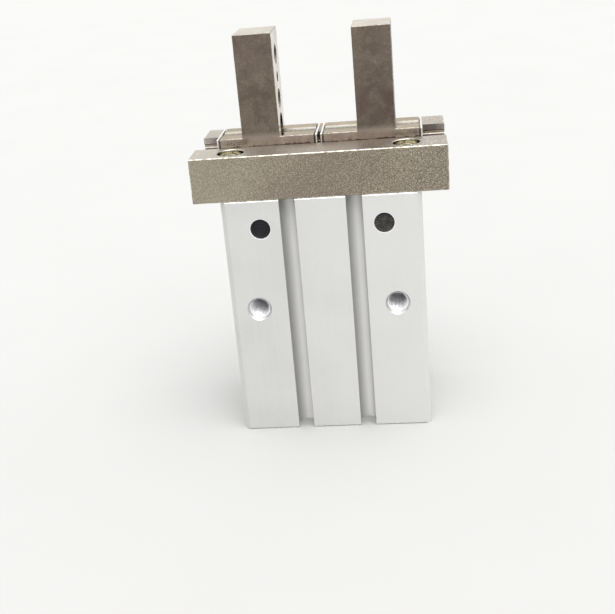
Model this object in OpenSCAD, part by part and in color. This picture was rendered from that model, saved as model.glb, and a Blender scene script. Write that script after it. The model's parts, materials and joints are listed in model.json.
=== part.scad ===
// Two-jaw parallel pneumatic gripper, all sizes in millimetres.
// X is the jaws' travel, Y runs front to back (front face at -Y), Z is up.
// The origin is at the centre of the bottom face. The jaws are drawn closed.

/* [Cylinder body] */
// width of the body across the jaws' travel
body_w = 39.4; // [36:0.1:44]
// depth of the body and of the guide block
body_d = 26.6; // [24:0.1:30]
// height of the body under the guide block
body_h = 50; // [44:0.1:56]
// chamfer of the four upright corners
corner_c = 1.0; // [0.4:0.1:2]
// small chamfer of the body's other outside edges
edge_c = 0.2; // [0.1:0.05:0.8]
// bore of the cylinder
bore_d = 20; // [16:0.5:21]

/* [Sensor slots] */
// distance between the two sensor slots of one face
slot_pitch = 13.1; // [10:0.1:16]
// width of a slot's mouth
slot_mouth = 3.2; // [2.4:0.1:4]
// diameter of the round channel behind the mouth
slot_round_d = 4.0; // [3:0.1:5]
// depth of the round channel's centre below the face
slot_axis_depth = 2.2; // [1.6:0.1:3]

/* [Ports and mounting holes] */
// distance between the two air ports
port_pitch = 24.4; // [20:0.1:28]
// height of the air ports above the bottom
port_z = 44.2; // [40:0.1:48]
// tapping diameter of the air ports
port_d = 4.2; // [3:0.1:6]
// depth of the air ports
port_depth = 6.5; // [4:0.1:8]
// distance between the two cross mounting holes
mount_pitch = 28.0; // [25:0.1:31]
// height of the cross mounting holes above the bottom
mount_z = 27.3; // [20:0.1:34]
// tapping diameter of the mounting threads
mount_d = 4.2; // [3:0.1:6]
// width of the countersink at a mounting hole's mouth
mount_sink_d = 5.0; // [4.4:0.1:7]
// distance between the two mounting threads in the bottom
foot_pitch = 30; // [26:0.5:33]
// depth of the mounting threads in the bottom
foot_depth = 9; // [6:0.5:12]

/* [Guide block] */
// length of the guide block along the jaws' travel
block_w = 50; // [44:0.5:56]
// thickness of the guide block
block_t = 8.9; // [7:0.1:11]
// chamfer of the guide block's outside edges
block_c = 0.15; // [0.1:0.05:0.6]
// width of the channel the jaws run in
channel_w = 10.5; // [8:0.1:14]
// depth of the channel below the block's top face
channel_depth = 4.8; // [3:0.1:6]
// distance between fixing screws along the travel
screw_pitch_x = 34.3; // [28:0.1:38]
// distance between fixing screws front to back
screw_pitch_y = 18.7; // [16:0.1:22]
// counterbore diameter of a fixing screw
sink_d = 5.3; // [5:0.1:7]
// depth of a fixing screw's counterbore
sink_depth = 4.3; // [3.2:0.1:5]

/* [Jaws] */
// depth of a jaw front to back
jaw_d = 10.2; // [8:0.1:14]
// inner end of a jaw's slider, measured from the centre, jaws closed
jaw_in = 0.7; // [0.5:0.05:2]
// outer end of a jaw's slider, measured from the centre, jaws closed
jaw_out = 20.0; // [16:0.1:21]
// height of a slider above the guide block's top face
jaw_rise = 1.76; // [1:0.02:3]
// gripping face of a finger, measured from the centre, jaws closed
finger_in = 7.7; // [5:0.1:10]
// outer face of a finger, measured from the centre, jaws closed
finger_out = 15.2; // [12:0.1:18]
// height of the finger tips above the guide block's top face
finger_rise = 21.8; // [16:0.1:28]
// diameter of the round passage through a finger's root
passage_d = 4.5; // [2:0.1:5]
// axis of that passage above the guide block's top face
passage_rise = 3.15; // [2:0.05:4]
// tapping diameter of the finger's fixing threads
tap_d = 3.4; // [2.5:0.1:4.5]
// lower fixing thread, above the guide block's top face
tap_low = 8.3; // [7:0.1:10]
// upper fixing thread, above the guide block's top face
tap_high = 17.0; // [14:0.1:19]
// locating hole between the two fixing threads
locate_d = 2.1; // [1.5:0.1:3]
// thickness of the slider's end plates
plate_t = 0.4; // [0.3:0.05:0.6]

/* [Rolling guide] */
// diameter of the guide balls
ball_d = 1.0; // [0.8:0.1:2]
// guide balls in one row of one jaw
ball_count = 10; // [4:1:12]
// depth of the ball row below the guide block's top face
ball_drop = 1.75; // [1.2:0.05:2.5]
// distance between neighbouring balls
ball_pitch = 1.6; // [1.1:0.05:3]
// play between a ball and its raceway
ball_play = 0.03; // [0.01:0.01:0.1]

/* [Levers] */
// distance of a lever's pivot from the centre
pivot_x = 11; // [9:0.1:13]
// height of the pivots above the bottom
pivot_z = 44; // [42:0.1:46]
// length of the upright arm, pivot to head
arm_long = 12.5; // [11:0.1:14]
// length of the level arm, pivot to tip
arm_short = 7; // [5:0.1:8]
// travel of one jaw
jaw_travel = 5; // [3:0.1:6]
// diameter of a lever's rounded ends
knob_d = 3.9; // [3:0.1:4.5]
// diameter of the pivot pins
pin_d = 4; // [3:0.5:5]
// thickness of a lever front to back
lever_t = 5.6; // [4:0.1:7]
// play of the running fits
play = 0.03; // [0.01:0.01:0.08]

/* [Piston] */
// height of the piston's underside above the bottom, jaws closed
piston_z = 9.7; // [9:0.1:11]
// height of the piston
piston_h = 9; // [7:0.1:11]
// diameter of the piston rod
rod_d = 8; // [6:0.5:9]
// diameter of the rod's two collars
collar_d = 12; // [10:0.1:13]
// thickness of a collar
collar_t = 2; // [1.2:0.1:3]

/* [Hidden] */
$fn = 64;
tiny = 0.01;
block_z = body_h;
top_z = body_h + block_t;
floor_z = top_z - channel_depth;
slider_top = top_z + jaw_rise;
slider_low = floor_z + 0.2;
tip_z = top_z + finger_rise;
front_y = -body_d / 2;
tilt = asin(jaw_travel / 2 / arm_long);
knob_x = pivot_x - jaw_travel / 2;
notch_r = knob_d / 2 + play;
tip_drop = arm_short * sin(tilt);
groove_z = pivot_z - tip_drop;
collar_low = groove_z - notch_r - collar_t;
well_d = 13.4;
well_z = 30;
lever_gap = lever_t / 2 + 0.3;
cavity_x = 15.6;
cavity_z = 39.4;
pin_front = -5.5;
pin_back = body_d / 2 - 0.1;
duct_x = 10.3;
duct_y = -7.8;
duct_d = 1.5;
duct_low = 9.1;
duct_high = 22.3;
cap_low = 3.3;
cap_h = 5;
clip_t = 1;
clip_d = 21.2;
clip_bore = 17.2;
clip_mouth = 9;
clip_low = cap_low - clip_t - 0.05;
cover_low = 24.5;
cover_clip_low = cover_low - clip_t - 0.05;
oring_d = 2;
cap_ring_z = cap_low + cap_h / 2;
cover_ring_z = 28.2;
ring_r = bore_d / 2 - 0.95;
rod_seal_z = 25.3;
rod_seal_h = 2;
seal_z = 6.2;
seal_h = 1.8;
magnet_z = 1.4;
magnet_h = 3;
groove_r = 7.6;
bumper_t = 0.9;
stud_d = 5;
dowel_d = 3;
dowel_l = 7;
dowel_y = 9.3;
screw_d = 2.5;
screw_head_d = 4.5;
screw_head_h = 2.5;
screw_l = 12;
screw_hex = 2;
screw_hex_depth = 1.1;
race_r = ball_d / 2 + ball_play;
race_z = top_z - ball_drop;
race_y = (jaw_d / 2 + channel_w / 2) / 2;
slider_mid = (jaw_in + jaw_out) / 2;
slot_x = slot_pitch / 2;
lever_slot_in = 6.2;
lever_slot_out = 15.8;
plug_d = 4.1;
plug_l = 4.5;
plug_proud = 0.15;
jaw_c = 0.12;
end_step = 0.25;

// rectangle with its four corners cut off
module cut_rect(a, b, c) {
  polygon([[-a / 2 + c, -b / 2], [a / 2 - c, -b / 2],
    [a / 2, -b / 2 + c], [a / 2, b / 2 - c],
    [a / 2 - c, b / 2], [-a / 2 + c, b / 2],
    [-a / 2, b / 2 - c], [-a / 2, -b / 2 + c]]);
}

// block with chamfered edges, centred; cz for the upright edges, c for the rest
module cut_box(sx, sy, sz, cz, c) {
  intersection() {
    linear_extrude(height = sz, center = true) cut_rect(sx, sy, cz);
    rotate([90, 0, 0])
      linear_extrude(height = sy, center = true) cut_rect(sx, sz, c);
    rotate([90, 0, 90])
      linear_extrude(height = sx, center = true) cut_rect(sy, sz, c);
  }
}

// cylinder along Y from y0 to y1
module bar_y(d, y0, y1) {
  translate([0, y1, 0]) rotate([90, 0, 0]) cylinder(d = d, h = y1 - y0);
}

// cylinder along X from x0 to x1
module bar_x(d, x0, x1) {
  translate([x0, 0, 0]) rotate([0, 90, 0]) cylinder(d = d, h = x1 - x0);
}

// flat ring standing on its lower face
module ring(d_out, d_in, h) {
  difference() {
    cylinder(d = d_out, h = h);
    translate([0, 0, -1]) cylinder(d = d_in, h = h + 2);
  }
}

// round section ring
module o_ring(r, d) {
  rotate_extrude() translate([r, 0]) circle(d = d, $fn = 32);
}

// open retaining ring with two eyes beside its gap
module clip_ring() {
  eye_r = 7.7;
  eye_a = 25;
  difference() {
    union() {
      ring(clip_d, clip_bore, clip_t);
      for (s = [-1, 1])
        rotate([0, 0, s * eye_a]) translate([eye_r, 0, 0])
          cylinder(d = 4, h = clip_t);
    }
    translate([0, -clip_mouth / 4, -1])
      cube([clip_d, clip_mouth / 2, clip_t + 2]);
    for (s = [-1, 1])
      rotate([0, 0, s * eye_a]) translate([eye_r, 0, -1])
        cylinder(d = 1.6, h = clip_t + 2);
  }
}

// sensor slot cut along the whole height of the front face
module sensor_slot() {
  translate([-slot_mouth / 2, front_y - 1, -1])
    cube([slot_mouth, slot_axis_depth + 1, body_h + 2]);
  translate([0, front_y + slot_axis_depth, -1])
    cylinder(d = slot_round_d, h = body_h + 2);
}

// one drilled air passage with its side drilling into the bore at height z
module air_passage(z) {
  translate([duct_x, duct_y, z]) cylinder(d = duct_d, h = body_h - z + 1);
  translate([0, duct_y, z]) bar_x(duct_d, 5.6, body_w / 2 + 1);
}

// aluminium cylinder body
module body() {
  color([0.83, 0.83, 0.81]) difference() {
    translate([0, 0, body_h / 2])
      cut_box(body_w, body_d, body_h, corner_c, edge_c);
    translate([0, 0, -1]) cylinder(d = bore_d, h = well_z + 1);
    translate([0, 0, -tiny])
      cylinder(d1 = bore_d + 1.6, d2 = bore_d, h = 0.8);
    translate([0, 0, well_z - 1]) cylinder(d = well_d, h = body_h);
    translate([-cavity_x, -lever_gap, cavity_z])
      cube([2 * cavity_x, 2 * lever_gap, body_h]);
    translate([0, 0, clip_low - 0.05]) cylinder(d = clip_d, h = clip_t + 0.1);
    translate([0, 0, cover_clip_low - 0.05])
      cylinder(d = clip_d, h = clip_t + 0.1);
    for (s = [-1, 1]) {
      translate([s * slot_x, 0, 0]) sensor_slot();
      translate([s * port_pitch / 2, 0, port_z])
        bar_y(port_d, front_y - 1, front_y + port_depth);
      translate([s * mount_pitch / 2, 0, mount_z])
        bar_y(mount_d, front_y - 1, -front_y + 1);
      translate([s * mount_pitch / 2, front_y - tiny, mount_z])
        rotate([-90, 0, 0])
          cylinder(d1 = mount_sink_d, d2 = mount_d, h = 0.5);
      translate([s * mount_pitch / 2, -front_y + tiny, mount_z])
        rotate([90, 0, 0])
          cylinder(d1 = mount_sink_d, d2 = mount_d, h = 0.5);
      translate([s * foot_pitch / 2, 0, -1])
        cylinder(d = mount_d, h = foot_depth + 1);
      translate([s * foot_pitch / 2, 0, -tiny])
        cylinder(d1 = mount_sink_d, d2 = mount_d, h = 0.5);
      translate([s * pivot_x, 0, pivot_z])
        bar_y(pin_d, pin_front, body_d / 2 + 1);
      for (t = [-1, 1])
        translate([s * screw_pitch_x / 2, t * screw_pitch_y / 2,
          top_z - sink_depth - screw_l - 0.5])
          cylinder(d = screw_d, h = screw_l + 10);
      translate([0, s * dowel_y, body_h - dowel_l / 2])
        cylinder(d = dowel_d, h = dowel_l);
    }
    air_passage(duct_low);
    mirror([1, 0, 0]) air_passage(duct_high);
  }
}

// channel shaped guide block with two raceways, screwed on the body
module guide_block() {
  color([0.57, 0.53, 0.47]) difference() {
    translate([0, 0, block_z + block_t / 2])
      cut_box(block_w, body_d, block_t, block_c, block_c);
    translate([-block_w, -channel_w / 2, floor_z])
      cube([2 * block_w, channel_w, block_t]);
    for (s = [-1, 1]) {
      translate([0, s * race_y, race_z])
        bar_x(2 * race_r, -block_w, block_w);
      for (t = [-1, 1])
        translate([s * screw_pitch_x / 2, t * screw_pitch_y / 2, 0]) {
          translate([0, 0, block_z - 1]) cylinder(d = screw_d + 0.3, h = 20);
          translate([0, 0, top_z - sink_depth])
            cylinder(d = sink_d, h = sink_depth + 1);
          translate([0, 0, top_z - 0.1])
            cylinder(d1 = sink_d, d2 = sink_d + 0.22, h = 0.11);
        }
      translate([0, s * dowel_y, block_z - 1])
        cylinder(d = dowel_d, h = dowel_l / 2 + 1);
      translate([s * (lever_slot_in + lever_slot_out) / 2, 0, block_z])
        cube([lever_slot_out - lever_slot_in, 2 * lever_gap, 20],
          center = true);
    }
  }
}

// socket head screws holding the guide block
module guide_screws() {
  color([0.66, 0.65, 0.62])
    for (s = [-1, 1]) for (t = [-1, 1])
      translate([s * screw_pitch_x / 2, t * screw_pitch_y / 2,
        top_z - sink_depth]) {
        difference() {
          cylinder(d = screw_head_d, h = screw_head_h);
          translate([0, 0, screw_head_h - screw_hex_depth])
            cylinder(d = screw_hex / cos(30), h = screw_head_h, $fn = 6);
        }
        translate([0, 0, -screw_l]) cylinder(d = screw_d, h = screw_l);
      }
}

// dowels locating the guide block on the body
module dowel_pins() {
  color([0.7, 0.71, 0.72])
    for (s = [-1, 1])
      translate([0, s * dowel_y, body_h - dowel_l / 2])
        cylinder(d = dowel_d, h = dowel_l);
}

// slider and finger of the right jaw, jaws closed
module jaw_shape() {
  finger_w = finger_out - finger_in;
  finger_mid = (finger_in + finger_out) / 2;
  slider_h = slider_top - slider_low;
  finger_low = slider_top - 1.2;
  long = jaw_out - jaw_in;
  difference() {
    union() {
      translate([slider_mid, 0, slider_low + slider_h / 2])
        cut_box(long - 2 * end_step, jaw_d, slider_h, jaw_c / 2, jaw_c);
      translate([slider_mid, 0, slider_low + slider_h / 2])
        cube([long, jaw_d - 0.8, slider_h - 0.8], center = true);
      translate([finger_mid, 0, (finger_low + tip_z) / 2])
        cut_box(finger_w, jaw_d, tip_z - finger_low, jaw_c, jaw_c);
    }
    translate([0, 0, top_z + passage_rise]) bar_x(passage_d, 0, 30);
    for (s = [-1, 1])
      translate([0, s * race_y, race_z]) bar_x(2 * race_r, -1, 30);
    for (z = [tap_low, tap_high])
      translate([0, 0, top_z + z])
        bar_x(tap_d, finger_in - 1, finger_out + 1);
    for (z = [tap_low, tap_high]) {
      translate([finger_in - tiny, 0, top_z + z]) rotate([0, 90, 0])
        cylinder(d1 = tap_d + 0.7, d2 = tap_d, h = 0.35);
      translate([finger_out + tiny, 0, top_z + z]) rotate([0, -90, 0])
        cylinder(d1 = tap_d + 0.7, d2 = tap_d, h = 0.35);
    }
    translate([0, 0, top_z + (tap_low + tap_high) / 2])
      bar_x(locate_d, finger_in - 1, finger_out + 1);
    translate([knob_x - notch_r, -lever_gap, slider_low - 1])
      cube([2 * notch_r, 2 * lever_gap, 5.25]);
  }
}

// right jaw
module jaw_right() {
  color([0.48, 0.44, 0.4]) jaw_shape();
}

// left jaw
module jaw_left() {
  color([0.48, 0.44, 0.4]) mirror([1, 0, 0]) jaw_shape();
}

// thin plates closing both ends of a slider
module plate_pair() {
  plate_low = slider_low + 0.1;
  for (x = [jaw_in - plate_t, jaw_out])
    translate([x + plate_t / 2, 0, (plate_low + slider_top) / 2])
      cut_box(plate_t, jaw_d, slider_top - plate_low, 0.1, 0.1);
}

module end_plates_right() {
  color([0.8, 0.8, 0.78]) plate_pair();
}

module end_plates_left() {
  color([0.8, 0.8, 0.78]) mirror([1, 0, 0]) plate_pair();
}

// two rows of balls between a slider and the channel's walls
module ball_rows() {
  first = slider_mid - (ball_count - 1) * ball_pitch / 2;
  for (s = [-1, 1]) for (i = [0 : ball_count - 1])
    translate([first + i * ball_pitch, s * race_y, race_z])
      sphere(d = ball_d, $fn = 24);
}

module guide_balls_right() {
  color([0.75, 0.76, 0.77]) ball_rows();
}

module guide_balls_left() {
  color([0.75, 0.76, 0.77]) mirror([1, 0, 0]) ball_rows();
}

// angle lever of the right jaw in its own frame: pivot at the origin,
// upright arm along Z, level arm towards -X
module lever_shape() {
  boss = 6.4;
  rotate([90, 0, 0])
    linear_extrude(height = lever_t, center = true)
      difference() {
        union() {
          circle(d = boss);
          polygon([[-2.6, 0], [2.6, 0], [1.3, arm_long], [-1.3, arm_long]]);
          translate([0, arm_long]) circle(d = knob_d);
          polygon([[0, -2.2], [0, 2.2], [-arm_short, 1], [-arm_short, -1]]);
          translate([-arm_short, 0]) circle(d = knob_d);
        }
        circle(d = pin_d + 2 * play);
      }
}

module lever_right() {
  color([0.45, 0.46, 0.48])
    translate([pivot_x, 0, pivot_z]) rotate([0, -tilt, 0]) lever_shape();
}

module lever_left() {
  color([0.45, 0.46, 0.48]) mirror([1, 0, 0])
    translate([pivot_x, 0, pivot_z]) rotate([0, -tilt, 0]) lever_shape();
}

// pivot pins of the levers, pressed in from the back
module lever_pins() {
  color([0.7, 0.71, 0.72])
    for (s = [-1, 1])
      translate([s * pivot_x, 0, pivot_z]) bar_y(pin_d, pin_front, pin_back);
}

// piston rod with two collars that hold the levers' tips
module piston_rod() {
  neck_d = 3.9;
  collar_top = groove_z + notch_r;
  rod_low = piston_z + piston_h;
  color([0.78, 0.79, 0.8]) difference() {
    union() {
      translate([0, 0, rod_low]) cylinder(d = rod_d, h = collar_low - rod_low);
      translate([0, 0, collar_low]) cylinder(d = collar_d, h = collar_t);
      translate([0, 0, collar_low]) cylinder(d = neck_d, h = collar_t + 5);
      translate([0, 0, collar_top]) cylinder(d = collar_d, h = collar_t);
      translate([0, 0, piston_z + 4.5]) cylinder(d = stud_d, h = 6);
    }
    translate([0, 0, piston_z]) cylinder(d = 3, h = 14);
  }
}

// piston with grooves for its seal and its magnet
module piston() {
  difference_d = bore_d - 0.2;
  color([0.72, 0.73, 0.74]) difference() {
    translate([0, 0, piston_z]) cylinder(d = difference_d, h = piston_h);
    translate([0, 0, piston_z + seal_z])
      ring(bore_d + 2, 2 * groove_r, seal_h);
    translate([0, 0, piston_z + magnet_z])
      ring(bore_d + 2, 2 * groove_r, magnet_h);
    translate([0, 0, piston_z + 4.5]) cylinder(d = stud_d, h = 6);
    translate([0, 0, piston_z - 1]) cylinder(d = 3.4, h = 6);
    translate([0, 0, piston_z - 1]) cylinder(d = 6, h = 4);
  }
}

// piston seal
module piston_seal() {
  color([0.09, 0.09, 0.09])
    translate([0, 0, piston_z + seal_z + 0.05])
      ring(bore_d - 0.04, 2 * groove_r, seal_h - 0.1);
}

// magnet ring read by the position sensors
module magnet_ring() {
  color([0.22, 0.22, 0.24])
    translate([0, 0, piston_z + magnet_z + 0.05])
      ring(bore_d - 0.8, 2 * groove_r, magnet_h - 0.1);
}

// screw that clamps the piston to its rod
module piston_screw() {
  color([0.66, 0.65, 0.62]) {
    translate([0, 0, piston_z + 0.1]) difference() {
      cylinder(d = 5.5, h = 2.9);
      translate([0, 0, -1]) cylinder(d = 2.5 / cos(30), h = 2.4, $fn = 6);
    }
    translate([0, 0, piston_z + 3]) cylinder(d = 3, h = 9);
  }
}

// rubber bumper on top of the piston
module rod_bumper() {
  color([0.15, 0.15, 0.16])
    translate([0, 0, piston_z + piston_h]) ring(14, rod_d, bumper_t);
}

// cover between the cylinder and the lever space, with the rod's bore
module rod_cover() {
  color([0.7, 0.72, 0.74]) difference() {
    translate([0, 0, cover_low])
      cylinder(d = bore_d - 0.06, h = well_z - cover_low);
    translate([0, 0, cover_low - 1]) cylinder(d = rod_d + 2 * play, h = 10);
    translate([0, 0, cover_ring_z - oring_d / 2])
      ring(bore_d + 2, 2 * (ring_r - oring_d / 2), oring_d);
    translate([0, 0, rod_seal_z]) cylinder(d = rod_d + 3.2, h = rod_seal_h);
  }
}

// sealing ring round the rod cover
module rod_cover_oring() {
  color([0.09, 0.09, 0.09])
    translate([0, 0, cover_ring_z]) o_ring(ring_r, oring_d - 0.1);
}

// seal on the piston rod
module rod_seal() {
  color([0.09, 0.09, 0.09])
    translate([0, 0, rod_seal_z + 0.05])
      ring(rod_d + 3.1, rod_d + 0.04, rod_seal_h - 0.1);
}

// retaining ring under the rod cover
module rod_cover_clip() {
  color([0.3, 0.3, 0.31]) translate([0, 0, cover_clip_low]) clip_ring();
}

// cover closing the cylinder at the bottom
module rear_cover() {
  color([0.7, 0.72, 0.74]) difference() {
    translate([0, 0, cap_low]) cylinder(d = bore_d - 0.06, h = cap_h);
    translate([0, 0, cap_ring_z - oring_d / 2])
      ring(bore_d + 2, 2 * (ring_r - oring_d / 2), oring_d);
    translate([0, 0, cap_low - 1]) cylinder(d = 9, h = 2);
  }
}

// sealing ring round the rear cover
module rear_cover_oring() {
  color([0.09, 0.09, 0.09])
    translate([0, 0, cap_ring_z]) o_ring(ring_r, oring_d - 0.1);
}

// retaining ring under the rear cover
module rear_cover_clip() {
  color([0.3, 0.3, 0.31]) translate([0, 0, clip_low]) clip_ring();
}

// rubber bumper on the rear cover
module rear_bumper() {
  color([0.15, 0.15, 0.16])
    translate([0, 0, cap_low + cap_h]) ring(14, 8, bumper_t);
}

// dust plugs in the two air ports
module port_plugs() {
  color([0.05, 0.05, 0.06])
    for (s = [-1, 1])
      translate([s * port_pitch / 2, 0, port_z])
        bar_y(plug_d, front_y - plug_proud, front_y + plug_l);
}

// balls closing the outer ends of the drilled air passages
module passage_balls() {
  depth = 1.3;
  color([0.7, 0.71, 0.72])
    for (s = [-1, 1]) {
      duct_z = s > 0 ? duct_low : duct_high;
      translate([s * (body_w / 2 - depth), duct_y, duct_z])
        sphere(d = duct_d, $fn = 48);
      translate([s * duct_x, duct_y, body_h - depth])
        sphere(d = duct_d, $fn = 48);
    }
}

body();
guide_block();
guide_screws();
dowel_pins();
jaw_left();
jaw_right();
end_plates_left();
end_plates_right();
guide_balls_left();
guide_balls_right();
lever_left();
lever_right();
lever_pins();
piston_rod();
piston();
piston_seal();
magnet_ring();
piston_screw();
rod_bumper();
rod_cover();
rod_cover_oring();
rod_seal();
rod_cover_clip();
rear_cover();
rear_cover_oring();
rear_cover_clip();
rear_bumper();
port_plugs();
passage_balls();
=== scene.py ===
import json
import math

import bmesh
import bpy
from mathutils import Matrix, Vector


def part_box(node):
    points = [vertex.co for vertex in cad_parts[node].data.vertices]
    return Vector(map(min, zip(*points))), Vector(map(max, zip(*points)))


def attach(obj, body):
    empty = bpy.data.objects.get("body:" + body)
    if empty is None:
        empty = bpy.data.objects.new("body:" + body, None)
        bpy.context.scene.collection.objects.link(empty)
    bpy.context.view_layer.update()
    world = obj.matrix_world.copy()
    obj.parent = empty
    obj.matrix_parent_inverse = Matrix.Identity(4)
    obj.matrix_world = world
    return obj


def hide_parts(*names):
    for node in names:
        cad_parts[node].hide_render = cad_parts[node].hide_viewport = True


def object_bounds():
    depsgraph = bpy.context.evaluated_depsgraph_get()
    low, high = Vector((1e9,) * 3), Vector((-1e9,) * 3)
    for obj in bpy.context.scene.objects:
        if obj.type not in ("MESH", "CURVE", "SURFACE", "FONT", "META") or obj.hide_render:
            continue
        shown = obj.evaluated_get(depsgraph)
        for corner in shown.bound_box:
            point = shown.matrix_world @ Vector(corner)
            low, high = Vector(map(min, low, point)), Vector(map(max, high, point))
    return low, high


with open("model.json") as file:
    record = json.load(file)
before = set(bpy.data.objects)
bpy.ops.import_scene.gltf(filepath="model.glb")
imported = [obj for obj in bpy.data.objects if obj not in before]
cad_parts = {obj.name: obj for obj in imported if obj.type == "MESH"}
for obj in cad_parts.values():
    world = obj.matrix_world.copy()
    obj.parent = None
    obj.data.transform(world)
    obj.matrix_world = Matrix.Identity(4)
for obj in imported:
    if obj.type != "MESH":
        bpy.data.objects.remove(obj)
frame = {"nodes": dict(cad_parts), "record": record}
cad_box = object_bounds()

MM = 0.001
nodes = frame["nodes"]
mounts = {m["name"]: m for m in frame["record"]["mounts"]}
mount_mm = {k: [c / MM for c in m["pos_m"]] for k, m in mounts.items()}

# positions in millimetres, from the frame
body_lo, body_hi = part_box("body")
front_y = body_lo.y / MM
back_y = body_hi.y / MM
body_top = body_hi.z / MM
half_w = body_hi.x / MM
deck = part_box("guide_block")[1].z / MM       # top of the guide block's strips
slot_x = abs(mount_mm["sensor_slot_left"][0])
port_x = abs(mount_mm["air_port_left"][0])
port_z = mount_mm["air_port_left"][2]

# ---------------------------------------------------------------- camera

def make_camera():
    """The camera fitted to the photograph's outlines."""
    eye = Vector((17.824, -209.715, 105.300)) * MM
    forward = Vector((-0.10384, 0.92437, -0.36710)).normalized()
    right = Vector((0.99351, 0.07922, -0.08157)).normalized()
    up = right.cross(forward).normalized()
    right = forward.cross(up)
    data = bpy.data.cameras.new("camera")
    data.lens = 61.60
    data.sensor_width = 36.0
    data.sensor_fit = "HORIZONTAL"
    data.clip_start = 0.005
    data.clip_end = 50.0
    cam = bpy.data.objects.new("camera", data)
    bpy.context.scene.collection.objects.link(cam)
    turn = Matrix((right, up, -forward)).transposed().to_4x4()
    cam.matrix_world = Matrix.Translation(eye) @ turn
    bpy.context.scene.camera = cam


make_camera()


# ---------------------------------------------------------------- node helpers

class Shade:
    """A material's node tree, with object coordinates in millimetres."""

    def __init__(self, name, **values):
        self.mat = bpy.data.materials.new(name)
        self.mat.use_nodes = True
        self.tree = self.mat.node_tree
        self.bsdf = self.tree.nodes["Principled BSDF"]
        coords = self.node("ShaderNodeTexCoord")
        self.mm = self.node("ShaderNodeMapping")
        self.mm.inputs["Scale"].default_value = (1 / MM, 1 / MM, 1 / MM)
        self.link(coords.outputs["Object"], self.mm.inputs["Vector"])
        for key, value in values.items():
            self.bsdf.inputs[key.replace("_", " ")].default_value = value

    def node(self, kind, **settings):
        n = self.tree.nodes.new(kind)
        for key, value in settings.items():
            setattr(n, key, value)
        return n

    def link(self, a, b):
        self.tree.links.new(a, b)

    def stretched(self, stretch):
        """The millimetre coordinates, scaled by stretch along each axis."""
        if stretch == (1, 1, 1):
            return self.mm.outputs[0]
        m = self.node("ShaderNodeMapping")
        m.inputs["Scale"].default_value = stretch
        self.link(self.mm.outputs[0], m.inputs["Vector"])
        return m.outputs[0]

    def noise(self, scale, detail=3.0, rough=0.55, stretch=(1, 1, 1), warp=0.0):
        n = self.node("ShaderNodeTexNoise")
        n.inputs["Scale"].default_value = scale
        n.inputs["Detail"].default_value = detail
        n.inputs["Roughness"].default_value = rough
        n.inputs["Distortion"].default_value = warp
        self.link(self.stretched(stretch), n.inputs["Vector"])
        return n.outputs["Fac"]

    def cells(self, scale):
        n = self.node("ShaderNodeTexVoronoi", feature="F1")
        n.inputs["Scale"].default_value = scale
        self.link(self.mm.outputs[0], n.inputs["Vector"])
        return n.outputs["Distance"]

    def axis(self, letter):
        s = self.node("ShaderNodeSeparateXYZ")
        self.link(self.mm.outputs[0], s.inputs[0])
        return s.outputs[letter]

    def remap(self, value, low, high, to_low=0.0, to_high=1.0, smooth=False):
        n = self.node("ShaderNodeMapRange")
        if smooth:
            n.interpolation_type = "SMOOTHSTEP"
        self.link(value, n.inputs["Value"])
        for key, v in (("From Min", low), ("From Max", high),
                       ("To Min", to_low), ("To Max", to_high)):
            n.inputs[key].default_value = v
        return n.outputs[0]

    def math(self, kind, a, b=None):
        n = self.node("ShaderNodeMath", operation=kind)
        for i, v in enumerate((a, b)):
            if v is None:
                continue
            if isinstance(v, (int, float)):
                n.inputs[i].default_value = v
            else:
                self.link(v, n.inputs[i])
        return n.outputs[0]

    def mix(self, factor, a, b):
        n = self.node("ShaderNodeMix", data_type="RGBA")
        for socket, v in ((n.inputs[0], factor), (n.inputs[6], a), (n.inputs[7], b)):
            if isinstance(v, (tuple, list)):
                socket.default_value = (*v, 1.0)
            elif isinstance(v, (int, float)):
                socket.default_value = v
            else:
                self.link(v, socket)
        return n.outputs[2]

    def colour(self, socket):
        self.link(socket, self.bsdf.inputs["Base Color"])

    def roughness(self, socket):
        self.link(socket, self.bsdf.inputs["Roughness"])

    def bump(self, height, distance, strength=1.0):
        n = self.node("ShaderNodeBump")
        n.inputs["Strength"].default_value = strength
        n.inputs["Distance"].default_value = distance * MM
        self.link(height, n.inputs["Height"])
        self.link(n.outputs[0], self.bsdf.inputs["Normal"])


# ---------------------------------------------------------------- materials

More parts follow.
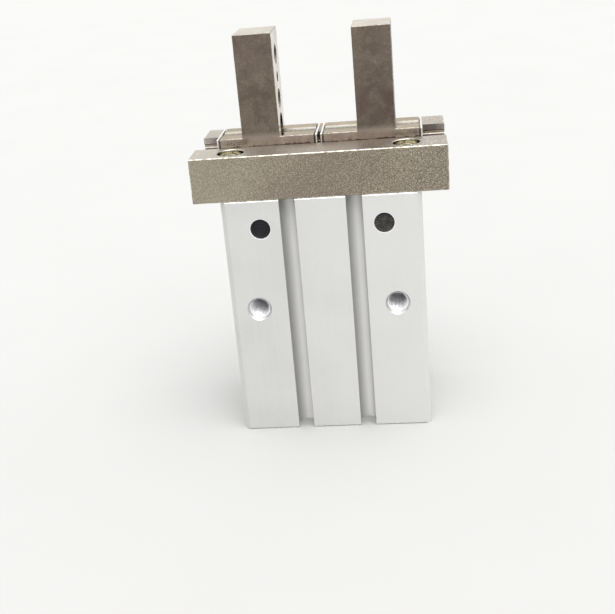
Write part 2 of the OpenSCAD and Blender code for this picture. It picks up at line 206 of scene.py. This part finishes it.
def anodised(name="satin_anodised", dark=(0.540, 0.543, 0.528), light=(0.575, 0.577, 0.565),
             metallic=0.40, painted_slot_shade=False):
    """Satin anodised alloy, lighter towards its right-hand side as painted light; with the slot
    option it paints shade into a slot, darker towards its two walls.
    """
    s = Shade(name, Metallic=metallic)
    fine = s.noise(5.0, 4.0, 0.6)
    speck = s.noise(2.2, 3.0, 0.6)
    drawn = s.noise(1.2, 3.0, 0.5, stretch=(1, 1, 0.04))
    cloud = s.noise(0.09, 2.0, 0.5)
    tone = s.mix(s.remap(cloud, 0.38, 0.62), dark, light)
    low = tuple(v * 0.86 for v in dark)
    high = tuple(min(v * 1.12, 0.95) for v in light)
    tone = s.mix(s.remap(fine, 0.35, 0.7, 0.0, 0.34), tone, low)
    tone = s.mix(s.remap(drawn, 0.42, 0.7, 0.0, 0.12), tone, high)
    tone = s.mix(s.remap(speck, 0.68, 0.76, 0.0, 0.45), tone, low)
    side = s.axis("X")
    # painted light: the finish grows lighter towards the right-hand side, as if lit from there
    tone = s.mix(s.remap(side, -20.0, 20.0, 0.0, 0.65), tone, high)
    if painted_slot_shade:
        # painted shade: the slot darkens towards both walls, as the light does under its lips
        across = s.math("SUBTRACT", side, s.math("MULTIPLY", s.math("SIGN", side), slot_x))
        shade = s.math("MAXIMUM", s.remap(across, 0.15, -1.75),
                       s.remap(across, 0.65, 1.70, 0.0, 0.72, smooth=True))
        tone = s.mix(s.math("MULTIPLY", shade, 0.92), tone, (0.315, 0.315, 0.306))
    s.colour(tone)
    s.roughness(s.remap(fine, 0.3, 0.7, 0.40, 0.50))
    s.bump(s.math("ADD", fine, s.math("MULTIPLY", drawn, 0.6)), 0.014, 0.4)
    return s.mat


def machined(name, light, dark, rough=(0.12, 0.24), scale=2.6, metal=1.0):
    """Bare cut metal with soft marks, scale of them to the millimetre."""
    s = Shade(name, Metallic=metal)
    marks = s.noise(scale, 3.0, 0.6)
    s.colour(s.mix(s.remap(marks, 0.38, 0.62), dark, light))
    s.roughness(s.remap(marks, 0.3, 0.7, *rough))
    s.bump(marks, 0.01, 0.3)
    return s.mat


def blasted(name="blasted_nickel", painted_light_gain=1.0, grain_depth=0.035, rough=(0.50, 0.34), cool=0.0,
            stain=0.28):
    """Bead-blasted nickel: grain, pale flecks, and a brown stain where it is handled."""
    # tones scaled brighter for the copy on the top faces: painted light
    def tint(r, g, b):
        g += (r - g) * cool
        b += (r - b) * cool
        return (min(r * painted_light_gain, 0.95), min(g * painted_light_gain, 0.95), min(b * painted_light_gain, 0.95))

    s = Shade(name, Metallic=1.0)
    side = s.remap(s.axis("X"), -24.0, 8.0, 0.52, 1.0)
    grain = s.noise(4.3, 2.0, 0.62)
    fine = s.noise(6.5, 2.0, 0.6)
    pits = s.cells(1.9)
    flecks = s.cells(0.75)
    cloud = s.noise(0.055, 2.0, 0.5, warp=0.4)
    tone = s.mix(s.remap(cloud, 0.40, 0.60), tint(0.300, 0.262, 0.212), tint(0.375, 0.336, 0.262))
    dark = s.math("MULTIPLY", s.remap(grain, 0.44, 0.60), side)
    pale = s.math("MULTIPLY", s.remap(grain, 0.43, 0.31), side)
    tone = s.mix(dark, tone, tint(0.175, 0.150, 0.116))
    tone = s.mix(pale, tone, tint(0.55, 0.505, 0.42))
    tone = s.mix(s.remap(pits, 0.15, 0.05, 0.0, 0.4), tone, tint(0.56, 0.52, 0.44))
    tone = s.mix(s.remap(flecks, 0.08, 0.03, 0.0, 0.5), tone, tint(0.66, 0.62, 0.54))
    worn = s.math("ABSOLUTE", s.math("SUBTRACT", s.axis("X"), 4.0))
    handled = s.math("MULTIPLY", s.remap(worn, 19.0, 4.0, smooth=True),
                     s.remap(s.noise(0.12, 3.0, 0.6), 0.30, 0.60, 0.35, 1.0))
    brown = tuple(v * painted_light_gain for v in (0.190, 0.146, 0.114))
    tone = s.mix(s.math("MULTIPLY", handled, stain), tone, brown)
    s.colour(tone)
    s.roughness(s.remap(grain, 0.3, 0.7, *rough))
    s.bump(s.math("ADD", grain, s.math("MULTIPLY", fine, 0.35)), grain_depth, 0.55)
    return s.mat


def worn_and_highlit_edge(name, bright, dull):
    """A broken edge, worn bright between nicks; the brightness is partly a painted highlight."""
    s = Shade(name, Metallic=1.0)
    nicks = s.noise(0.9, 4.0, 0.65)
    fine = s.noise(4.0, 2.0, 0.6)
    tone = s.mix(s.remap(nicks, 0.46, 0.60), bright, dull)
    s.colour(s.mix(s.remap(fine, 0.4, 0.7, 0.0, 0.4), tone, dull))
    s.roughness(s.remap(nicks, 0.3, 0.7, 0.22, 0.42))
    s.bump(s.math("ADD", nicks, fine), 0.03, 0.5)
    return s.mat


def ground_steel(name="ground_steel", painted_light_gain=1.0, rough=(0.22, 0.32), front=True, cool=1.0,
                 edge=(1.0, 1.0, 1.0)):
    """Ground steel, its tones darkened as a painted dark reflection and brightened in copies as
    painted light; front adds the finger's stains, and dirt with painted shade at its foot.
    """
    if front:
        cool = 0.0

    # painted light: a factor above 1 makes lighter copies for faces that catch more light
    def tint(r, g, b):
        g += (r - g) * 0.42 * cool
        b += (r - b) * 0.42 * cool
        return (min(r * painted_light_gain, 0.95), min(g * painted_light_gain, 0.95), min(b * painted_light_gain, 0.95))

    s = Shade(name, Metallic=1.0, Specular_Tint=(*edge, 1.0))
    grain = s.noise(2.4, 3.0, 0.65)
    stains = s.noise(0.14, 5.0, 0.66, warp=0.5)
    hue = s.noise(0.075, 3.0, 0.55, warp=0.5)
    blots = s.noise(0.34, 4.0, 0.6, warp=0.3)
    # painted reflection: the base tones are darker than bare steel, standing in for the dark
    # surroundings the fronts reflect
    tone = s.mix(s.remap(hue, 0.42, 0.58), tint(0.176, 0.147, 0.110), tint(0.172, 0.135, 0.113))
    tone = s.mix(s.remap(stains, 0.46, 0.62, 0.0, 0.80), tone, tint(0.112, 0.088, 0.070))
    tone = s.mix(s.remap(blots, 0.50, 0.34, 0.0, 0.42), tone, tint(0.240, 0.203, 0.165))
    tone = s.mix(s.remap(grain, 0.44, 0.64, 0.0, 0.45), tone, tint(0.112, 0.090, 0.074))
    tone = s.mix(s.remap(grain, 0.42, 0.28, 0.0, 0.40), tone, tint(0.280, 0.243, 0.205))
    if front:
        z = s.axis("Z")
        across = s.math("ABSOLUTE", s.axis("X"))
        under = s.math("MULTIPLY", s.remap(across, 6.6, 8.6, smooth=True),
                       s.remap(across, 16.2, 14.4, smooth=True))
        lift = s.math("MULTIPLY", s.remap(z, deck + 2.9, deck + 1.5, smooth=True),
                      s.remap(under, 0.0, 1.0, 0.85, 0.60))
        tone = s.mix(lift, tone, (0.45, 0.392, 0.340))
        tarnish = s.math("MULTIPLY", s.remap(s.axis("X"), 6.0, 9.0, smooth=True),
                         s.math("MULTIPLY", s.remap(z, deck + 12.5, deck + 8.0, smooth=True),
                                s.remap(z, deck + 1.6, deck + 3.4, smooth=True)))
        tarnish = s.math("MULTIPLY", tarnish, s.remap(blots, 0.36, 0.60, 0.35, 1.0))
        tone = s.mix(s.math("MULTIPLY", tarnish, 0.75), tone, (0.098, 0.070, 0.062))
        smudge = s.noise(0.55, 4.0, 0.62, warp=0.6)
        low = s.math("MULTIPLY", s.remap(z, deck + 3.0, deck + 0.3, smooth=True),
                     s.remap(smudge, 0.44, 0.58, 0.0, 0.75))
        tone = s.mix(low, tone, (0.300, 0.228, 0.212))
        # dirt and painted shade: a ragged dark line along the jaw's foot, in the gap above the
        # block
        ragged = s.noise(0.8, 4.0, 0.65)
        reach = s.math("ADD", z, s.remap(ragged, 0.3, 0.7, -0.30, 0.38))
        grime_and_gap_shade = s.remap(reach, deck + 0.26, deck + 0.04, 0.0, 0.85, smooth=True)
        tone = s.mix(grime_and_gap_shade, tone, (0.050, 0.034, 0.038))
    s.colour(tone)
    s.roughness(s.remap(stains, 0.3, 0.7, *rough))
    s.bump(s.math("ADD", blots, s.math("MULTIPLY", grain, 0.6)), 0.016, 0.35)
    return s.mat


def dark_steel(name, base, worn):
    s = Shade(name, Metallic=0.9)
    spots = s.noise(2.4, 4.0, 0.65)
    s.colour(s.mix(s.remap(spots, 0.48, 0.75), base, worn))
    s.roughness(s.remap(spots, 0.3, 0.7, 0.30, 0.45))
    s.bump(spots, 0.01, 0.3)
    return s.mat


def rubber(name, base, light):
    s = Shade(name, Metallic=0.0, Specular_IOR_Level=0.5)
    grain = s.noise(6.0, 4.0, 0.6)
    cloud = s.noise(0.6, 2.0, 0.5)
    tone = s.mix(s.remap(cloud, 0.35, 0.65), base, light)
    s.colour(s.mix(s.remap(grain, 0.45, 0.75, 0.0, 0.5), tone, light))
    s.roughness(s.remap(grain, 0.3, 0.7, 0.45, 0.62))
    s.bump(grain, 0.02, 0.35)
    return s.mat


def plug_plastic(name="plug_plastic"):
    """Black plastic; the right-hand plug is paler, in fine rays."""
    s = Shade(name, Metallic=0.0, Specular_IOR_Level=0.28)
    grain = s.noise(6.0, 4.0, 0.6)
    cloud = s.noise(1.1, 3.0, 0.6)
    x = s.axis("X")
    turn = s.math("ARCTAN2", s.math("SUBTRACT", s.axis("Z"), port_z),
                  s.math("SUBTRACT", x, port_x))
    rays = s.math("ABSOLUTE", s.math("SINE", s.math("MULTIPLY", turn, 9.0)))
    paler_rays = s.math("MULTIPLY", s.remap(x, -1.0, 1.0), s.remap(rays, 0.55, 1.0, 0.30, 1.0))
    paler_rays = s.math("MULTIPLY", paler_rays, s.remap(cloud, 0.36, 0.62, 0.25, 1.0))
    tone = s.mix(s.remap(grain, 0.40, 0.70), (0.003, 0.003, 0.005), (0.009, 0.009, 0.012))
    s.colour(s.mix(paler_rays, tone, (0.075, 0.070, 0.060)))
    s.roughness(s.remap(grain, 0.3, 0.7, 0.42, 0.58))
    s.bump(grain, 0.02, 0.35)
    return s.mat


MAT = {
    "body": anodised(),
    # the slots: a lighter copy of the anodised finish, with painted shade towards their walls
    "slot": anodised("slot_anodised", (0.86, 0.86, 0.85), (0.90, 0.90, 0.89), 0.12, True),
    "cut": machined("cut_alloy", (0.88, 0.875, 0.89), (0.78, 0.775, 0.795), (0.28, 0.40),
                    metal=0.65),
    "ring": machined("countersunk_ring", (0.70, 0.70, 0.71), (0.52, 0.52, 0.53), (0.24, 0.36), 1.6),
    "bore": machined("honed_bore", (0.72, 0.73, 0.74), (0.60, 0.61, 0.62), (0.10, 0.18)),
    # the body's top and bottom bevels: bright bare alloy, partly a painted highlight
    "edge_alloy": machined("broken_edge", (0.84, 0.84, 0.83), (0.68, 0.68, 0.67), (0.2, 0.34)),
    "block": blasted(),
    # the block's top faces: a lighter, cooler copy of the blasted nickel, painted light
    "block_top": blasted("blasted_top", 1.30, 0.02, (0.54, 0.44), 0.35, 0.62),
    # bevels and counterbore rims: worn bright, partly a painted highlight
    "block_edge": worn_and_highlit_edge("nickel_edge_wear_and_highlight", (0.66, 0.62, 0.55), (0.26, 0.23, 0.19)),
    "sink": machined("counterbored", (0.76, 0.73, 0.62), (0.66, 0.63, 0.52), (0.06, 0.12), 1.2),
    "rim": worn_and_highlit_edge("counterbore_rim", (0.78, 0.75, 0.66), (0.50, 0.47, 0.40)),
    # channel walls, raceways, tops and gripping faces: lighter copies of the ground steel, painted
    # light face by face
    "channel": ground_steel("channel_wall", 2.4, (0.24, 0.34), False, 1.35),
    "race": ground_steel("raceway", 2.1, (0.2, 0.3), False),
    "jaw": ground_steel(),
    "jaw_top": ground_steel("jaw_top", 1.40, (0.12, 0.20), False, 0.0, (0.94, 0.89, 0.78)),
    "finger_top": ground_steel("finger_top", 1.85, (0.14, 0.22), False, 0.2, (1.0, 0.98, 0.92)),
    "jaw_inner": ground_steel("gripping_face", 4.2, (0.20, 0.28), False),
    # the jaws' bevels: worn lighter, partly a painted highlight
    "jaw_edge": worn_and_highlit_edge("jaw_edge_wear_and_highlight", (0.31, 0.29, 0.255), (0.17, 0.15, 0.13)),
    "drilled": machined("drilled_steel", (0.30, 0.275, 0.24), (0.20, 0.18, 0.155), (0.2, 0.34)),
    "plate_edge": machined("plate_edge", (0.70, 0.67, 0.63), (0.52, 0.49, 0.46), (0.2, 0.3)),
    "plate": machined("bright_plate", (0.82, 0.79, 0.76), (0.74, 0.71, 0.68), (0.18, 0.28), 1.3),
    # painted shade: the steps at a slider's ends, in the gaps beside the end plates, are painted
    # dark
    "seam": machined("shaded_seam", (0.120, 0.105, 0.095), (0.065, 0.056, 0.050), (0.3, 0.45)),
    "trough": machined("reamed_trough", (0.235, 0.228, 0.205), (0.18, 0.174, 0.155), (0.16, 0.26)),
    "pin": machined("pin_steel", (0.60, 0.605, 0.61), (0.55, 0.555, 0.56), (0.22, 0.30), 1.4),
    "screw": machined("zinc_plated", (0.70, 0.685, 0.64), (0.54, 0.525, 0.48), (0.2, 0.34)),
    "clip": dark_steel("spring_steel", (0.13, 0.13, 0.135), (0.24, 0.23, 0.22)),
    "lever": dark_steel("lever_steel", (0.30, 0.31, 0.33), (0.42, 0.42, 0.43)),
    "polished": machined("polished_steel", (0.72, 0.72, 0.73), (0.62, 0.62, 0.63), (0.07, 0.14)),
    "turned": machined("turned_alloy", (0.74, 0.75, 0.77), (0.60, 0.61, 0.63), (0.18, 0.3)),
    "seal": rubber("nitrile_rubber", (0.02, 0.02, 0.02), (0.045, 0.045, 0.045)),
    "bumper": rubber("urethane", (0.05, 0.05, 0.055), (0.09, 0.09, 0.095)),
    "magnet": rubber("bonded_magnet", (0.07, 0.07, 0.08), (0.12, 0.12, 0.13)),
    "plug": plug_plastic(),
}

FINISH = {
    "body": "body", "guide_block": "block", "guide_screws": "screw",
    "dowel_pins": "pin", "jaw_left": "jaw", "jaw_right": "jaw",
    "end_plates_left": "plate", "end_plates_right": "plate",
    "guide_balls_left": "polished", "guide_balls_right": "polished",
    "lever_left": "lever", "lever_right": "lever", "lever_pins": "pin",
    "piston_rod": "polished", "piston": "turned", "piston_seal": "seal",
    "magnet_ring": "magnet", "piston_screw": "screw", "rod_bumper": "bumper",
    "rod_cover": "turned", "rod_cover_oring": "seal", "rod_seal": "seal",
    "rod_cover_clip": "clip", "rear_cover": "turned",
    "rear_cover_oring": "seal", "rear_cover_clip": "clip",
    "rear_bumper": "bumper", "port_plugs": "plug", "passage_balls": "polished",
}
for name, obj in nodes.items():
    obj.data.materials.clear()
    obj.data.materials.append(MAT[FINISH[name]])


# ---------------------------------------------------------------- faces of the CAD nodes

# where the holes are, from the frame
pitch_cross = mounts["front_threads"]["dims"]["spacing_x_mm"] / 2
pitch_foot = mounts["bottom_threads"]["dims"]["spacing_x_mm"] / 2
pitch_tap = mounts["left_finger_threads"]["dims"]["spacing_y_mm"] / 2
tap_z = mount_mm["left_finger_threads"][2]
cross_z = mount_mm["front_threads"][2]
head_lo, head_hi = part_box("guide_screws")
HEAD_R = 2.25
screw_x = head_hi.x / MM - HEAD_R
screw_y = head_hi.y / MM - HEAD_R
jaw_lo, jaw_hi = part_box("jaw_right")
jaw_near = jaw_lo.x / MM
jaw_far = jaw_hi.x / MM

# limits of the painted faces, in millimetres: the CAD's size, mostly with a little more
SLOT_HALF, SLOT_DEEP = 2.1, 4.5
MOUTH_R = 2.6                     # countersunk mouths of the mounting threads
PORT_R = 2.2
BORE_R, BORE_TOP = 11.0, 30.1
FOOT_TOP = 10
WELL_X, WELL_Y, WELL_LOW = 15.9, 7.0, 29.0
BROKEN = 0.3                      # width of the band that holds a broken edge
SINK_R, SINK_IN_R = 2.85, 2.7     # counterbores: with the rim's bevel, and without
RIM_DEEP = 0.11
CHANNEL_HALF, CHANNEL_DEEP = 5.95, 4.9
BLOCK_X, BLOCK_Y = 24.8, 13.1     # inner limits of the block's outside edges
REBATE, REBATE_IN = 0.25, 0.27    # step at a slider's ends, under the end plates
TROUGH_HALF = 2.2
TROUGH_RISE = 1.9                 # above this the passage is closed
FINGER_IN, FINGER_OUT = 7.7, 15.2
RACE_OUT, RACE_DROP, RACE_HALF = 4.4, 1.75, 0.6


def paint(node, pick):
    """Give faces of a CAD node their own finish: pick(centre_mm, normal)."""
    mesh = nodes[node].data
    order = {FINISH[node]: 0}
    for face in mesh.polygons:
        c = face.center / MM
        key = pick(c, face.normal) or FINISH[node]
        if key not in order:
            order[key] = len(order)
            mesh.materials.append(MAT[key])
        face.material_index = order[key]


def slanted(n):
    """Whether a normal stands halfway between two axes, as on a bevel."""
    a, b, c = sorted(abs(v) for v in n)
    return a < 0.02 and abs(b - c) < 0.06


def body_faces(c, n):
    on_front = n.y < -0.999 and c.y < front_y + 0.01
    on_back = n.y > 0.999 and c.y > back_y - 0.01
    if on_front or on_back:
        return None
    if abs(abs(c.x) - slot_x) < SLOT_HALF and c.y < front_y + SLOT_DEEP and abs(n.z) < 0.5:
        return "slot"
    ring = math.hypot(abs(c.x) - pitch_cross, c.z - cross_z)
    if ring < MOUTH_R and abs(n.y) < 0.95:
        return "cut" if abs(n.y) < 0.2 else "ring"
    if math.hypot(abs(c.x) - port_x, c.z - port_z) < PORT_R:
        return "cut"
    if math.hypot(c.x, c.y) < BORE_R and 0.0 < c.z < BORE_TOP:
        return "bore"
    if math.hypot(abs(c.x) - pitch_foot, c.y) < MOUTH_R and 0.0 < c.z < FOOT_TOP:
        return "cut"
    if abs(c.x) < WELL_X and abs(c.y) < WELL_Y and c.z > WELL_LOW:
        return "cut"
    at_rim = abs(abs(c.x) - half_w) < BROKEN or c.z < BROKEN or c.z > body_top - BROKEN
    # top and bottom bevels take the bright edge finish, partly a painted highlight
    if slanted(n) and at_rim and abs(n.z) > 0.5:
        return "edge_alloy"
    return None


def block_faces(c, n):
    off = math.hypot(abs(c.x) - screw_x, abs(c.y) - screw_y)
    if off < SINK_R and abs(n.z) < 0.999:
        return "rim" if c.z > deck - RIM_DEEP and abs(n.z) > 0.3 else "sink"
    if off < SINK_IN_R and c.z < deck - 0.5:
        return "sink"
    in_channel = deck - CHANNEL_DEEP < c.z < deck - 0.001
    if abs(c.y) < CHANNEL_HALF and abs(n.x) < 0.5 and in_channel:
        return "channel" if abs(n.y) > 0.999 or abs(n.z) > 0.999 else "race"
    if slanted(n) and (abs(c.x) > BLOCK_X or abs(c.y) > BLOCK_Y):
        return "block_edge"
    if n.z > 0.99 and c.z > deck - 0.01:
        return "block_top"
    return None


def jaw_faces(c, n):
    reach = abs(c.x)
    # painted shade: the steps and gaps at a slider's ends get the dark seam finish
    stepped = reach < jaw_near + REBATE_IN or reach > jaw_far - REBATE_IN
    if stepped and abs(n.x) < 0.9 and (n.z > 0.5 or abs(n.y) > 0.5):
        return "seam"
    near_step = abs(n.x) > 0.99 and abs(reach - jaw_near - REBATE) < 0.02
    if near_step or abs(reach - jaw_far + REBATE) < 0.02:
        return "seam"
    if slanted(n) and not (abs(n.x) < 0.02 and abs(c.y) < 4.5):
        return "jaw_edge"
    if abs(c.y) < TROUGH_HALF and abs(n.x) < 0.9 and abs(n.z) < 0.9999 and c.z > deck:
        in_root = c.z > deck + TROUGH_RISE or FINGER_IN < reach < FINGER_OUT
        return "drilled" if in_root else "trough"
    if n.z > 0.99:
        return "finger_top" if c.z > deck + 10 else "jaw_top"
    if abs(n.x) > 0.99 and c.z > deck + 2.0 and reach < FINGER_IN + 0.3:
        return "jaw_inner"
    at_race = abs(c.y) > RACE_OUT and abs(c.z - (deck - RACE_DROP)) < RACE_HALF
    if abs(n.x) < 0.5 and abs(n.y) < 0.999 and at_race:
        return "race"
    return None


def plate_faces(c, n):
    return "plate_edge" if slanted(n) else None


paint("end_plates_left", plate_faces)
paint("end_plates_right", plate_faces)
paint("body", body_faces)
paint("guide_block", block_faces)
paint("jaw_left", jaw_faces)
paint("jaw_right", jaw_faces)


# ---------------------------------------------------------------- turned pieces

def place(origin, axis):
    """Matrix that puts local Z along axis at origin (both in millimetres)."""
    z = Vector(axis).normalized()
    side = Vector((0, 0, 1)) if abs(z.z) < 0.9 else Vector((1, 0, 0))
    x = side.cross(z).normalized()
    y = z.cross(x)
    turn = Matrix((x, y, z)).transposed().to_4x4()
    return Matrix.Translation(Vector(origin)) @ turn


def ring_mesh(bm, loops, spot, n, closed=False):
    """Skin loops of (radius or radius(angle), height) round local Z; radius 0 is a point."""
    made = []
    for radius, height in loops:
        if radius == 0:
            made.append([bm.verts.new(spot @ Vector((0, 0, height)) * MM)])
            continue
        row = []
        for i in range(n):
            a = 2 * math.pi * i / n
            r = radius(a) if callable(radius) else radius
            local = Vector((r * math.cos(a), r * math.sin(a), height))
            row.append(bm.verts.new(spot @ local * MM))
        made.append(row)
    pairs = list(zip(made, made[1:]))
    if closed:
        pairs.append((made[-1], made[0]))
    for low, high in pairs:
        for i in range(n):
            j = (i + 1) % n
            if len(low) == 1:
                bm.faces.new((low[0], high[i], high[j]))
            elif len(high) == 1:
                bm.faces.new((low[i], high[0], low[j]))
            else:
                bm.faces.new((low[i], high[i], high[j], low[j]))


def finish_piece(name, bm, mat, body, angle=32):
    """Make the object, shade it smooth up to angle degrees, and fasten it to its body."""
    bmesh.ops.recalc_face_normals(bm, faces=bm.faces)
    mesh = bpy.data.meshes.new(name)
    bm.to_mesh(mesh)
    bm.free()
    mesh.polygons.foreach_set("use_smooth", [True] * len(mesh.polygons))
    mesh.set_sharp_from_angle(angle=math.radians(angle))
    mesh.materials.append(MAT[mat])
    obj = bpy.data.objects.new(name, mesh)
    bpy.context.scene.collection.objects.link(obj)
    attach(obj, body)
    return obj


RUN_OUT = 0.35                    # length over which a thread's ends fade
ROWS = 14                         # rows of faces to a turn of thread


def thread(bm, origin, axis, length, crest, root, outer, pitch, n=60):
    """A cut thread: a closed sleeve whose inner wall is one helical groove."""
    spot = place(origin, axis)

    def wall(z):
        def radius(a):
            t = (z / pitch - a / (2 * math.pi)) % 1.0
            w = min(max((abs(2 * t - 1) - 0.50) / 0.36, 0.0), 1.0)
            ends = min(z / RUN_OUT, (length - z) / RUN_OUT, 1.0)
            return root - (root - crest) * w * max(ends, 0.0)
        return radius

    rows = int(length / pitch * ROWS)
    loops = [(wall(length * k / rows), length * k / rows) for k in range(rows + 1)]
    loops += [(outer, length), (outer, 0.0)]
    ring_mesh(bm, loops, spot, n, closed=True)


def make_threads():
    """M5 threads in the body, M4 threads in the fingers."""
    m5 = (1.87, 2.12, 2.2, 0.8)   # radii of crest, root and sleeve, then pitch
    m4 = (1.60, 1.72, 1.78, 0.7)
    inset = 0.45                  # below the countersink
    gap = 0.3                     # from a finger's faces
    bm = bmesh.new()
    for s in (-1, 1):
        thread(bm, (s * pitch_cross, front_y + inset, cross_z), (0, 1, 0), 8.4, *m5)
        thread(bm, (s * pitch_cross, back_y - inset, cross_z), (0, -1, 0), 8.4, *m5)
        thread(bm, (s * pitch_foot, 0, inset), (0, 0, 1), 8.0, *m5)
    finish_piece("body_threads", bm, "cut", "cylinder", 40)
    for side, s in (("left", -1), ("right", 1)):
        bm = bmesh.new()
        for t in (-1, 1):
            thread(bm, (s * (FINGER_IN + gap), 0, tap_z + t * pitch_tap), (s, 0, 0),
                   FINGER_OUT - FINGER_IN - 2 * gap, *m4, 48)
        finish_piece("finger_threads_" + side, bm, "drilled", "jaw_" + side, 40)


def make_plugs():
    """Two ribbed plugs and the ports' rounded mouths, as radius and depth from the face."""
    bm = bmesh.new()
    seat = bmesh.new()
    for s in (-1, 1):
        spot = place((s * port_x, front_y, port_z), (0, 1, 0))
        loops = [(0, 0.34), (0.32, 0.33), (0.40, 0.26), (0.52, 0.26), (0.60, 0.33),
                 (1.02, 0.30), (1.08, 0.24), (1.20, 0.24), (1.26, 0.28), (1.58, 0.20),
                 (1.64, 0.10), (1.78, 0.02), (1.88, 0.03), (1.93, 0.10), (1.93, 0.7),
                 (1.86, 0.9), (1.93, 1.2), (1.86, 1.5), (1.93, 1.8), (1.86, 2.1),
                 (1.93, 2.4), (1.80, 4.3), (1.6, 4.5), (0, 4.5)]
        ring_mesh(bm, loops, spot, 72)
        loops = [(2.16, 0.0), (2.09, -0.004), (2.02, 0.03), (1.955, 0.14), (1.955, 0.5),
                 (2.02, 0.9), (1.955, 1.3), (2.02, 1.7), (2.16, 1.7)]
        ring_mesh(seat, loops, spot, 72, closed=True)
    plugs = finish_piece("port_plug_pair", bm, "plug", "cylinder")
    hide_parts("port_plugs")
    finish_piece("port_seats", seat, "cut", "cylinder")


def make_screws():
    """Four M2.5 socket head screws with a knurled head."""
    bm = bmesh.new()
    top = head_hi.z / MM
    foot = head_lo.z / MM
    head_h = 2.5
    seat = top - head_h
    flats = 2.0                   # across the hexagon socket
    shank = 1.25
    ribs = 40

    def knurl(depth):
        return lambda a: HEAD_R - 0.02 - depth * (0.5 - 0.5 * math.cos(ribs * a))

    def hexagon(across):
        def radius(a):
            t = (a + math.pi / 6) % (math.pi / 3) - math.pi / 6
            return across / 2 / math.cos(t)
        return radius

    for s in (-1, 1):
        for t in (-1, 1):
            spot = Matrix.Translation(Vector((s * screw_x, t * screw_y, 0)))
            loops = [(0, top - 1.3), (hexagon(flats * 0.5), top - 1.2),
                     (hexagon(flats), top - 1.1), (hexagon(flats), top - 0.12),
                     (hexagon(flats * 1.1), top - 0.02), (1.28, top), (1.80, top),
                     (2.08, top - 0.10), (knurl(0.0), top - 0.28), (knurl(0.11), top - 0.46),
                     (knurl(0.11), seat + 0.3), (knurl(0.0), seat + 0.1),
                     (2.0, seat), (1.36, seat), (shank, seat - 0.15), (shank, foot + 0.3),
                     (0.95, foot), (0, foot)]
            ring_mesh(bm, loops, spot, 240)
    screws = finish_piece("cap_screws", bm, "screw", "cylinder", 28)
    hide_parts("guide_screws")


make_threads()
make_plugs()
make_screws()


# ---------------------------------------------------------------- stage and light

def make_floor():
    """A round pale floor, just under the part's foot."""
    mesh = bpy.data.meshes.new("floor")
    bm = bmesh.new()
    bmesh.ops.create_circle(bm, cap_ends=True, radius=8.0, segments=96)
    bm.to_mesh(mesh)
    bm.free()
    floor = bpy.data.objects.new("floor", mesh)
    bpy.context.scene.collection.objects.link(floor)
    clear = 0.00002               # keeps the floor's face off the foot's
    floor.location.z = cad_box[0].z - clear
    s = Shade("floor_paint", Metallic=0.0)
    grain = s.noise(0.02, 3.0, 0.5)
    s.colour(s.mix(s.remap(grain, 0.3, 0.7), (0.458, 0.459, 0.455), (0.468, 0.469, 0.465)))
    s.bsdf.inputs["Roughness"].default_value = 0.9
    mesh.materials.append(s.mat)


def make_light():
    """A soft studio: a pale world, brighter overhead, with one wide soft lobe."""
    world = bpy.data.worlds.new("studio")
    bpy.context.scene.world = world
    world.use_nodes = True
    tree = world.node_tree
    back = tree.nodes["Background"]
    coords = tree.nodes.new("ShaderNodeTexCoord")
    split = tree.nodes.new("ShaderNodeSeparateXYZ")
    tree.links.new(coords.outputs["Generated"], split.inputs[0])

    def ramp(socket, low, high, to_low, to_high):
        n = tree.nodes.new("ShaderNodeMapRange")
        n.interpolation_type = "SMOOTHSTEP"
        tree.links.new(socket, n.inputs["Value"])
        for key, v in (("From Min", low), ("From Max", high),
                       ("To Min", to_low), ("To Max", to_high)):
            n.inputs[key].default_value = v
        return n.outputs[0]

    aim = tree.nodes.new("ShaderNodeVectorMath")
    aim.operation = "DOT_PRODUCT"
    tree.links.new(coords.outputs["Generated"], aim.inputs[0])
    aim.inputs[1].default_value = Vector((0.16, -0.40, 0.90)).normalized()
    total = tree.nodes.new("ShaderNodeMath")
    total.operation = "ADD"
    tree.links.new(ramp(split.outputs["Z"], 0.30, 0.80, 1.22, 1.55), total.inputs[0])
    tree.links.new(ramp(aim.outputs["Value"], 0.80, 0.97, 0.0, 2.6), total.inputs[1])
    side = tree.nodes.new("ShaderNodeMath")
    side.operation = "MULTIPLY"
    tree.links.new(total.outputs[0], side.inputs[0])
    tree.links.new(ramp(split.outputs["X"], -1.0, 1.0, 0.94, 1.09), side.inputs[1])
    tree.links.new(side.outputs[0], back.inputs["Strength"])
    back.inputs["Color"].default_value = (1.0, 0.995, 0.985, 1.0)


make_floor()
make_light()
bpy.context.scene.view_settings.view_transform = "Standard"
